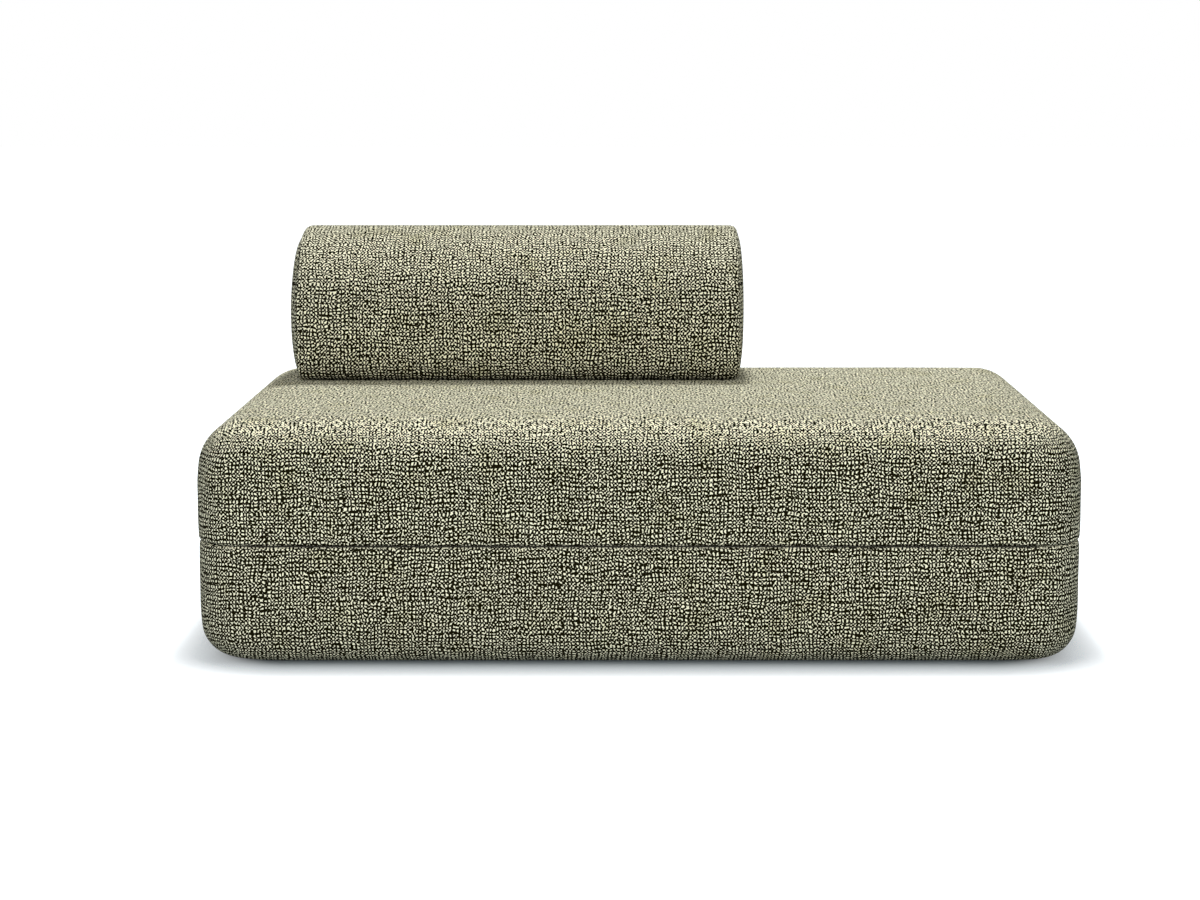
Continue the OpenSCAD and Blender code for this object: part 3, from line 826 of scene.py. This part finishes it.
weave = weave_material("weave", WEAVE_PERIOD, WEAVE_COLOURS, WEAVE_LEVELS)
sleep_weave = weave_material("sleep_weave", SLEEP_PERIOD, SLEEP_COLOURS, SLEEP_LEVELS)
foam_finish = plain_material("support_foam", (0.86, 0.80, 0.60), 0.9, 900, 0.0006)
comfort_finish = plain_material("comfort_foam", (0.88, 0.86, 0.76), 0.9, 700, 0.0006)
fibre_finish = plain_material("fibre", (0.9, 0.9, 0.88), 0.95, 400, 0.002)
grip_finish = plain_material("anti_slip", (0.07, 0.07, 0.065), 0.7, 500, 0.0004)
tape_finish = plain_material("zip_tape", (0.34, 0.33, 0.25), 0.85, 1500, 0.0003)
# Near-black hinge tape, which also paints the shade in the narrow seam between the mattresses
hinge_and_seam_shade_finish = plain_material("hinge_tape", (0.02, 0.018, 0.008), 0.85, 1200, 0.0004)
coil_finish = plain_material("zip_coil", (0.27, 0.26, 0.2), 0.45, 600, 0.0001)
metal_finish = plain_material("zip_metal", (0.55, 0.54, 0.50), 0.38, 800, 0.00005, 1.0)
thread_finish = plain_material("thread", (0.62, 0.60, 0.47), 0.8, 2500, 0.0002)


def dress(piece, material, body):
    """Gives a piece its finish and slot, and the body it rides on."""
    piece.data.materials.clear()
    piece.data.materials.append(material)
    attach(piece, body)


def press_seat(cushion):
    """Presses the seat down to where the bolster rests on it."""
    low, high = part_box("bolster_grip_sheet")
    low.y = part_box("bolster_cover")[0].y + BOLSTER_TUCK
    points = points_of(cushion.data)
    under = np.ones(len(points))
    for axis in (0, 1):
        under *= ease(points[:, axis], low[axis] - PRESS_REACH, low[axis])
        under *= 1 - ease(points[:, axis], high[axis], high[axis] + PRESS_REACH)
    above = np.maximum(points[:, 2] - (low.z - PRESS_GAP), 0)
    points[:, 2] -= above * under
    move_points(cushion.data, points)


def lift_corners(cushion, shape):
    """Lifts the foot a little off the floor towards the corners, more at the left."""
    points = points_of(cushion.data)
    wide = ease(np.abs(points[:, 0]), shape.half_w - CORNER_REACH, shape.half_w)
    deep = ease(np.abs(points[:, 1]), shape.half_d - CORNER_REACH, shape.half_d)
    low = 1 - ease(points[:, 2], 0, FLOOR_EDGE_R * 1.5)
    most = np.where(points[:, 0] < 0, LEFT_LIFT, RIGHT_LIFT)
    points[:, 2] += most * wide * (0.3 + 0.7 * deep) * low
    move_points(cushion.data, points)


def lifted_foam(shape):
    """The lower foam core, lifted at its corners with the cover."""
    piece = add_object("lower_foam", frame["nodes"]["lower_foam_core"].data.copy())
    lift_corners(piece, shape)
    dress(piece, foam_finish, "lower_mattress")
    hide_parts("lower_foam_core")


def zip_place(prefix):
    """Height of a zip, and its length with its stops."""
    low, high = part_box(prefix + "_zip_coil")
    stops_low, stops_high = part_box(prefix + "_zip_stops")
    return (low.z + high.z) / 2, stops_high.x - stops_low.x


def soft_cushion(name, shape, zip_z, lump_size, shift):
    """A swollen cushion, its points, and how deep its lumps draw them in."""
    cushion = shape.build(name)
    swell(cushion, shape.freedom(points_of(cushion.data), zip_z))
    cushion.modifiers.new("smooth", "SUBSURF").levels = 1
    finish_modifiers(cushion)
    points = points_of(cushion.data)
    free = shape.freedom(points, zip_z)
    return cushion, points, LUMP_DEPTH * free * (0.5 + 0.5 * noise_at(points, lump_size, shift))


def mattress_pieces(prefix, shape, shift):
    """The cushion and sleep face of one mattress."""
    zip_z, zip_l = zip_place(prefix)
    cushion, points, lumps = soft_cushion(prefix + "_cushion", shape, zip_z, LUMP_SIZE, shift)
    inset, height, _ = shape.place_of(points)
    near_seam = ease(height, SEAM_LEVEL, SEAM_EDGE_R) * (1 - ease(height, PUCKER_START, PUCKER_END))
    upright = points * (1, 1, PUCKER_STRETCH)
    puckers = PUCKER_DEPTH * near_seam * (0.5 + noise_at(upright, PUCKER_SIZE, shift))
    groove = GROOVE_DEPTH * np.exp(-((inset - PANEL_INSET) / GROOVE_REACH) ** 2) * (height < SEAM_LEVEL)
    dimple(cushion, np.minimum(lumps + np.maximum(puckers, 0) + groove, MOST_DIMPLE))
    points = points_of(cushion.data)
    points[:, 1] = np.maximum(points[:, 1], fold["pos_m"][1] + FOLD_GAP)
    move_points(cushion.data, points)
    if prefix == "upper":
        press_seat(cushion)
    else:
        lift_corners(cushion, shape)
    cut_slot(cushion, shape.half_d, (0, zip_z), zip_l)
    face = lift_panel(cushion, 1, prefix + "_sleep_face")
    # Painted light on the cover's upward faces and painted shade on its downward faces; the sleep face
    # gets an even loft
    write_loft_and_painted_light(cushion, 0.0, 1.0, FLOOR_PAINTED_SHADE)
    write_loft_and_painted_light(face, SLEEP_LOFT, SLEEP_LOFT, 0)
    for piece, material, node in ((cushion, weave, "_cover"), (face, sleep_weave, "_sleep_panel")):
        shape.lay_cloth(piece, (shift, shift / 3, 0))
        smooth(piece)
        dress(piece, material, prefix + "_mattress")
        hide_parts(prefix + node)


def bolster_pieces(shift):
    """The cushion and both sewn ends of the bolster."""
    shape = Bolster()
    zip_z, zip_l = zip_place("bolster")
    cushion, _, lumps = soft_cushion("bolster_cushion", shape, zip_z, BOLSTER_LUMP_SIZE, shift)
    dimple(cushion, lumps)
    cut_slot(cushion, shape.low.y + shape.depth, (shape.middle_x, zip_z), zip_l)
    left = lift_panel(cushion, 1, "bolster_left_face")
    right = lift_panel(cushion, 2, "bolster_right_face")
    pieces = {"bolster_cover": cushion, "bolster_left_end": left, "bolster_right_end": right}
    for node, piece in pieces.items():
        shape.lay_cloth(piece, (shift, shift / 3, 0))
        # Painted light on the bolster's top and painted shade on its lower rim
        write_loft_and_painted_light(piece, BOLSTER_LEAST, BOLSTER_MOST, BOLSTER_PAINTED_SHADE)
        smooth(piece)
        dress(piece, weave, "bolster")
        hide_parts(node)


def zip_teeth(prefix, body):
    """The interlocking turns of a zip's coil."""
    low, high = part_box(prefix + "_zip_coil")
    middle, half = (low.z + high.z) / 2, (high.z - low.z) / 2
    path = [(low.y + TOOTH_R, half - TOOTH_R), (high.y - TOOTH_R, half - TOOTH_R),
            (high.y - TOOTH_R, -TOOTH_REACH), (low.y + TOOTH_R, -TOOTH_REACH)]
    points, faces = [], []
    count = int((high.x - low.x - TOOTH_PITCH) / TOOTH_PITCH)
    for side in (1, -1):
        for k in range(count):
            x = low.x + TOOTH_PITCH * (k + (0.5 if side > 0 else 1.0))
            first = len(points)
            for j, (y, z) in enumerate(path):
                lean = TOOTH_LEAN * (j - 1.5)
                before, after = path[max(j - 1, 0)], path[min(j + 1, 3)]
                way = Vector((0, after[0] - before[0], after[1] - before[1])).normalized()
                across = Vector((0, -way.z, way.y))
                for a in range(4):
                    turn = math.radians(45 + 90 * a)
                    off = across * math.sin(turn) * TOOTH_R
                    wide = math.cos(turn) * TOOTH_R * TOOTH_FLATTER
                    points.append((x + lean + wide, y + off.y, middle + side * (z + off.z)))
            faces += tube(first, 4, 4)
            faces += [tuple(range(first, first + 4)), tuple(range(first + 12, first + 16))[::-1]]
    piece = new_piece(prefix + "_zip_teeth", points, faces)
    face_outward(piece)
    smooth(piece, 60)
    dress(piece, coil_finish, body)
    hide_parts(prefix + "_zip_coil")


def hinge_ribbon():
    """The folded ribbon that joins both mattresses."""
    low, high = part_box("hinge_strip_lower")
    _, y, z = fold["pos_m"]
    back = y + RIBBON_W
    outer = [(back, z - RIBBON_T)]
    outer += arc((y, z), FOLD_R, -90, -270, 10)
    outer += [(back, z + RIBBON_T), (back, z + PRESS_GAP)]
    section = outer[:1] + [(y, z - FOLD_R)] + outer[1:] + [(y + FOLD_R / 2, z), (back, z - PRESS_GAP)]
    columns = np.linspace(low.x, high.x, 141)
    count = len(section)
    points = [(x, section_y, section_z) for x in columns for section_y, section_z in section]
    last = (len(columns) - 1) * count
    faces = tube(0, count, len(columns))
    faces += [tuple(range(count))[::-1], tuple(range(last, last + count))]
    ribbon = new_piece("hinge_ribbon", points, faces)
    # The near-black ribbon also paints the shade of the seam
    ribbon.data.materials.append(hinge_and_seam_shade_finish)
    smooth(ribbon, 50)
    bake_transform(ribbon)
    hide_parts("hinge_strip_lower", "hinge_strip_upper")


def stitches(name, line, out, body):
    """A row of sewn stitches along a line. out is the way they stand out of the cloth."""
    line = np.array(line, float)
    run = run_along(line)
    out = Vector(out)
    points, faces = [], []

    def at(place):
        return Vector([float(np.interp(place, run, line[:, k])) for k in range(3)])

    for k in range(int((run[-1] - STITCH_L) / STITCH_STEP)):
        start, end = at(k * STITCH_STEP), at(k * STITCH_STEP + STITCH_L)
        across = out.cross(end - start).normalized() * STITCH_R
        first = len(points)
        points.append(start - out * STITCH_R)
        for share in (0.25, 0.75):
            middle = start.lerp(end, share)
            points += [middle + out * STITCH_R, middle + across, middle - out * STITCH_R, middle - across]
        points.append(end - out * STITCH_R)
        for a in range(4):
            b = (a + 1) % 4
            faces.append((first, first + 1 + a, first + 1 + b))
            faces.append((first + 1 + a, first + 5 + a, first + 5 + b, first + 1 + b))
            faces.append((first + 5 + a, first + 9, first + 5 + b))
    piece = new_piece(name, points, faces)
    smooth(piece, 80)
    dress(piece, thread_finish, body)


def zip_stitches(prefix, body, back_y):
    """The rows that hold the zip's tapes, above and below its opening."""
    low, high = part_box(prefix + "_zip_tapes")
    middle = (low.z + high.z) / 2
    for row, side in (("low", -1), ("high", 1)):
        z = middle + side * ZIP_STITCH_OFF
        line = [(low.x, back_y, z), (high.x, back_y, z)]
        stitches(f"{prefix}_zip_stitches_{row}", line, (0, 1, 0), body)


def panel_stitches(prefix, shape):
    """The row that sews the sleep face to the cover."""
    inset = PANEL_INSET + PANEL_STITCH_OFF
    depth = GROOVE_DEPTH * math.exp(-(PANEL_STITCH_OFF / GROOVE_REACH) ** 2)
    _, _, cores, normals, _ = shape.columns()
    ring = cores + (CORNER_R - inset) * normals
    ring = np.vstack([ring, ring[:1]])
    line = np.column_stack([ring, np.full(len(ring), shape.sleep_z + shape.way * depth)])
    stitches(prefix + "_panel_stitches", line, (0, 0, -shape.way), prefix + "_mattress")


def grip_sheet(prefix, body, corner_r):
    """An anti-slip sheet with rows of rubber dots under it."""
    low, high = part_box(prefix + "_grip_sheet")
    middle, half = (low + high) / 2, (high - low) / 2
    line = []
    for side_x, side_y, start in ((1, 1, 0), (-1, 1, 90), (-1, -1, 180), (1, -1, 270)):
        centre = (middle.x + side_x * (half.x - corner_r), middle.y + side_y * (half.y - corner_r))
        line += arc(centre, corner_r, start - 9, start + 90, 11)
    count = len(line)
    points = [(x, y, z) for z in (low.z + DOT_H, high.z) for x, y in line]
    faces = [tuple(range(count))[::-1], tuple(range(count, 2 * count))]
    faces += tube(0, count, 2)
    for j in range(round(2 * (half.y - DOT_STEP) / DOT_STEP)):
        for i in range(round(2 * (half.x - DOT_STEP) / DOT_STEP)):
            x = low.x + DOT_STEP * (i + 1 + 0.5 * (j % 2))
            y = low.y + DOT_STEP * (j + 1)
            first = len(points)
            for radius, z in ((DOT_R, low.z + DOT_H), (DOT_TIP_R, low.z)):
                ring = arc((x, y), radius, -360 / DOT_SIDES, 360 - 360 / DOT_SIDES, DOT_SIDES)
                points += [(ring_x, ring_y, z) for ring_x, ring_y in ring]
            faces += tube(first, DOT_SIDES, 2)
            faces.append(tuple(range(first + DOT_SIDES, first + 2 * DOT_SIDES)))
    piece = new_piece(prefix + "_grip", points, faces)
    dress(piece, grip_finish, body)
    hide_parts(prefix + "_grip_sheet")


def keep_node(name, material, bevel=0.0):
    """Finishes a CAD node that stays as it is, and breaks its edges."""
    node = frame["nodes"][name]
    node.data.materials.clear()
    node.data.materials.append(material)
    if bevel:
        edge = node.modifiers.new("edges", "BEVEL")
        edge.width = bevel
        edge.segments = 2
        edge.limit_method = "ANGLE"


upper = Mattress("upper_cover", True, SEAT_EDGE_R, SEAT_CROWN, SEAT_WIDER, SEAT_PUFF)
lower = Mattress("lower_cover", False, FLOOR_EDGE_R, 0.0, FLOOR_WIDER, 0.0)
mattress_pieces("upper", upper, 0.0)
mattress_pieces("lower", lower, 5.0)
bolster_pieces(9.0)

for prefix in ("lower", "upper", "bolster"):
    body = prefix if prefix == "bolster" else prefix + "_mattress"
    zip_teeth(prefix, body)
    zip_stitches(prefix, body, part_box(prefix + "_cover")[1].y)
    keep_node(prefix + "_zip_tapes", tape_finish)
    keep_node(prefix + "_zip_stops", metal_finish, TAB_BEVEL)
    keep_node(prefix + "_zip_slider", metal_finish, SLIDER_BEVEL)
    keep_node(prefix + "_zip_pull", metal_finish, TAB_BEVEL)
    if prefix != "lower":
        keep_node(prefix + "_foam_core", foam_finish)
    keep_node(prefix + "_wadding", fibre_finish)
for name in ("lower_comfort_foam", "upper_comfort_foam"):
    keep_node(name, comfort_finish)
keep_node("seat_wadding", fibre_finish)
lifted_foam(lower)
hinge_ribbon()
panel_stitches("lower", lower)
panel_stitches("upper", upper)
grip_sheet("lower", "lower_mattress", CORNER_R - FLOOR_EDGE_R)
grip_sheet("bolster", "bolster", BOLSTER_FOOT_R)


# How the floor glows white away from the lower mattress's rest footprint and from parts found by ambient
# occlusion. Where the glow fades is a painted contact shadow, whose reach and corners these set; the
# lamp-lit floor colour shows there, with its real shadow
GLOW_START = 0.008
GLOW_FULL = 0.15
SHADOW_CORNER_R = 0.17
SIDE_SHORTER = 1.3
SHADE_REACH = 0.12
FLOOR_SHADOW_COLOUR = (0.52, 0.59, 0.64, 1)
FLOOR_HALF_SIDE = 30
FLOOR_Z = -0.0002

# Light, and the photograph's camera
WHITE = (1, 1, 1, 1)
WORLD_LIGHT = 0.52
OVERHEAD_LAMP = {"place": (0, 1.9, 4.5), "target": (0, 0, 0.3), "size": 0.6, "power": 140}
FRONT_LAMP = {"place": (0, -5.0, 0.8), "target": (0, 0, 0.35), "size": 2.4, "power": 128}
CAMERA_PLACE = (0, -5.2233, 1.0708)
CAMERA_DOWN = 8.143
CAMERA_LENS = 80.69
CAMERA_SHIFT = -0.0327


def seen(t):
    """1 on rays that see the floor or world, also in a reflection, and 0 on rays that light."""
    ray = t.node("LightPath")
    direct = t.math("MAXIMUM", ray.outputs["Is Camera Ray"], ray.outputs["Is Glossy Ray"])
    return t.math("MAXIMUM", direct, ray.outputs["Is Transmission Ray"])


def add_stage():
    """A floor that glows white to the camera, with a painted contact shadow where the glow fades near the
    lower mattress's rest footprint and near parts found by ambient occlusion; there the lamp-lit floor
    colour shows, with its real shadow.
    """
    material = bpy.data.materials.new("floor")
    t = Tree(material)
    place = t.node("TexCoord").outputs["Object"]
    foot = (lower.half_w - SHADOW_CORNER_R, lower.half_d - SHADOW_CORNER_R, 0)
    past = t.vector("SUBTRACT", t.vector("ABSOLUTE", place, (0, 0, 0)), foot)
    past = t.vector("MULTIPLY", t.vector("MAXIMUM", past, (0, 0, 0)), (SIDE_SHORTER, 1, 1))
    away = t.node("VectorMath", {0: past}, operation="LENGTH").outputs["Value"]
    away = t.math("SUBTRACT", away, SHADOW_CORNER_R - FLOOR_EDGE_R)
    glow = t.ramp(away, GLOW_START, GLOW_FULL)
    # Painted shade: ambient occlusion dims the glow near any part, in every pose
    open_sky = t.node("AmbientOcclusion", {"Distance": SHADE_REACH}, samples=2).outputs["AO"]
    shaded = t.math("MULTIPLY", glow, t.math("SUBTRACT", 1.0, t.ramp(open_sky, 0.35, 0.9)))
    glow = t.math("MULTIPLY", glow, t.math("SUBTRACT", 1.0, shaded))
    cloth = t.node("BsdfDiffuse", {"Color": FLOOR_SHADOW_COLOUR}).outputs[0]
    glow = t.node("Emission", {"Color": WHITE, "Strength": t.math("MULTIPLY", seen(t), glow)}).outputs[0]
    t.node("OutputMaterial", {"Surface": t.node("AddShader", {0: cloth, 1: glow}).outputs[0]})
    side = FLOOR_HALF_SIDE
    corners = [(-side, -side), (side, -side), (side, side), (-side, side)]
    floor = new_piece("floor", [(x, y, FLOOR_Z) for x, y in corners], [(0, 1, 2, 3)])
    floor.data.materials.append(material)


def add_world():
    """Even light all round, and white where the camera looks past the floor."""
    world = bpy.data.worlds.new("studio")
    t = Tree(world)
    level = t.ramp(seen(t), 0, 1, WORLD_LIGHT, 1)
    sky = t.node("Background", {"Color": WHITE, "Strength": level}).outputs[0]
    t.node("OutputWorld", {"Surface": sky})
    bpy.context.scene.world = world


def add_lamp(name, place, target, size, power):
    lamp = add_object(name, bpy.data.lights.new(name, "AREA"))
    lamp.data.shape = "DISK"
    lamp.data.size = size
    lamp.data.energy = power
    lamp.location = place
    lamp.rotation_euler = (Vector(target) - Vector(place)).to_track_quat("-Z", "Y").to_euler()


def add_camera():
    """The photograph's view: straight on, from a little over the bolster's height."""
    camera = add_object("camera", bpy.data.cameras.new("camera"))
    camera.location = CAMERA_PLACE
    camera.rotation_euler = (math.radians(90 - CAMERA_DOWN), 0, 0)
    camera.data.lens = CAMERA_LENS
    camera.data.shift_x = CAMERA_SHIFT
    bpy.context.scene.camera = camera


add_stage()
add_world()
add_lamp("overhead", **OVERHEAD_LAMP)
add_lamp("front", **FRONT_LAMP)
add_camera()
bpy.context.scene.view_settings.view_transform = "Standard"
